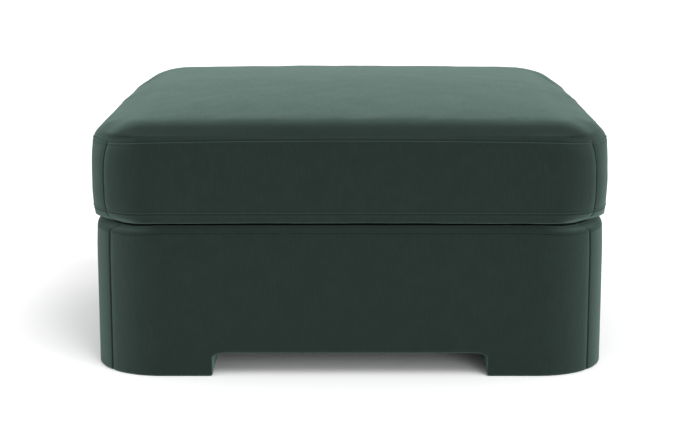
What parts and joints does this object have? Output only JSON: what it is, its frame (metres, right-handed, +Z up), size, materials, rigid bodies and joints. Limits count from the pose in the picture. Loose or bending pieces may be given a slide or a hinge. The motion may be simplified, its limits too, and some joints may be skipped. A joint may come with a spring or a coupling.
{
  "type": "rectangular ottoman",
  "caption": "Rectangular upholstered ottoman: crowned velvet cushion with sewn edges on a padded round-cornered base with block feet.",
  "frame": {"origin": "on the floor under the middle of the ottoman", "axes": "+Z up, +X along the long front towards its right end, the front faces -Y"},
  "size_m": [0.914, 0.762, 0.486],
  "materials": {
    "velvet": "dark green velvet with a short pile and a soft pale sheen at grazing angles"
  },
  "bodies": {
    "root": {"cushion": "velvet", "base_body": "velvet", "base_front": "velvet", "base_back": "velvet", "base_left": "velvet", "base_right": "velvet"}
  },
  "joints": []
}
